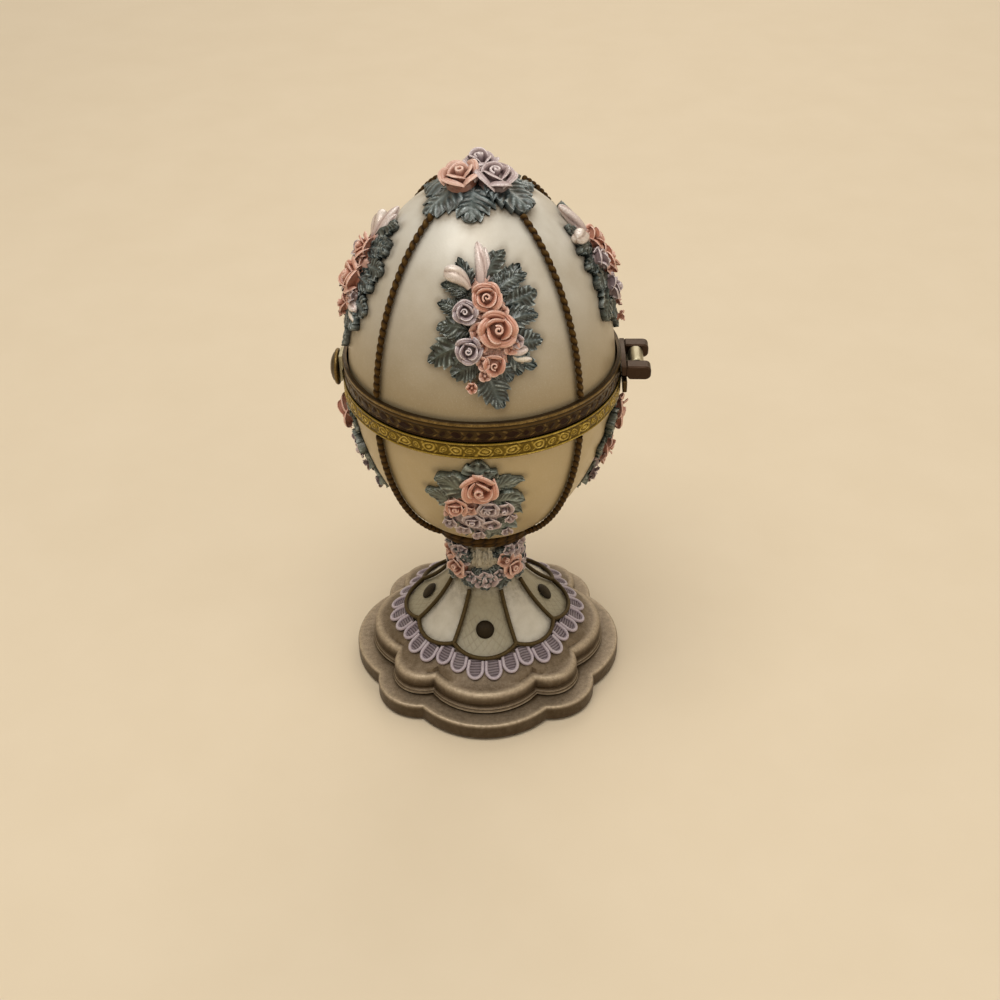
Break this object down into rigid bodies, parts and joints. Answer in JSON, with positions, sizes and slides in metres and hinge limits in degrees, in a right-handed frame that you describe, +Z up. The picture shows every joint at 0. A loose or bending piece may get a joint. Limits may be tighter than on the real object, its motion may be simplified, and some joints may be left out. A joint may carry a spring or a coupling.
{
  "type": "egg jewelry box",
  "caption": "Pearl egg-shaped jewelry box on a lobed flared foot, with a side-hinged lid, brass rim rings, a knob latch, beaded cords and raised flower sprays.",
  "frame": {"origin": "centre of the foot, on the underside of the felt pad that the box stands on", "axes": "+Z up through the egg's axis, -Y towards the front spray, -X towards the knob and +X towards the hinge"},
  "size_m": [0.0812, 0.0764, 0.154],
  "materials": {
    "pearl_enamel": "pearl lacquer on cast resin",
    "cream_enamel": "cream and pearl paint on cast resin",
    "champagne_paint": "satin metallic champagne paint on cast resin",
    "antique_bronze": "antique bronze paint on beaded cord",
    "lilac_lace": "lilac paint on cast loops",
    "painted_flowers": "salmon and lilac painted roses over blue-green leaves",
    "painted_leaves": "blue-green paint with dark veins",
    "yellow_brass": "bright embossed brass",
    "brown_brass": "aged brown brass",
    "dark_brass": "dark aged brass",
    "pin_steel": "plain worn steel",
    "flocked_lining": "short burgundy flock",
    "felt_pad": "dark green felt"
  },
  "bodies": {
    "base": {"base_felt": "felt_pad", "plinth_plate": "champagne_paint", "plinth_tier": "champagne_paint", "foot_stem": "cream_enamel", "foot_tracery": "antique_bronze", "foot_stud_front": "antique_bronze", "foot_stud_right": "antique_bronze", "foot_stud_back": "antique_bronze", "foot_stud_left": "antique_bronze", "lace_trim": "lilac_lace", "neck_garland": "painted_flowers", "bowl_shell": "pearl_enamel", "bowl_lining": "flocked_lining", "bowl_rim_ring": "yellow_brass", "bowl_cord_ring": "antique_bronze", "bowl_rib_front_right": "antique_bronze", "bowl_rib_back_right": "antique_bronze", "bowl_rib_back_left": "antique_bronze", "bowl_rib_front_left": "antique_bronze", "bowl_spray_front": "painted_flowers", "bowl_spray_right": "painted_flowers", "bowl_spray_back": "painted_flowers", "bowl_spray_left": "painted_flowers", "hinge_bowl_leaf": "pin_steel", "latch_catch": "yellow_brass"},
    "lid": {"lid_shell": "pearl_enamel", "lid_lining": "flocked_lining", "lid_rim_ring": "brown_brass", "lid_strand_front_right": "antique_bronze", "lid_strand_back_right": "antique_bronze", "lid_strand_back_left": "antique_bronze", "lid_strand_front_left": "antique_bronze", "lid_spray_front": "painted_flowers", "lid_spray_right": "painted_flowers", "lid_spray_back": "painted_flowers", "lid_spray_left": "painted_flowers", "crown_leaves": "painted_leaves", "crown_roses": "painted_flowers", "hinge_lid_leaf": "dark_brass", "hinge_pin": "pin_steel", "latch_tongue": "dark_brass", "latch_knob": "brown_brass"}
  },
  "joints": [
    {"name": "lid_hinge", "type": "hinge", "parent": "base", "child": "lid", "pos_m": [0.039, 0, 0.09889], "axis": [0, 1, 0], "range_deg": [0, 100]}
  ]
}
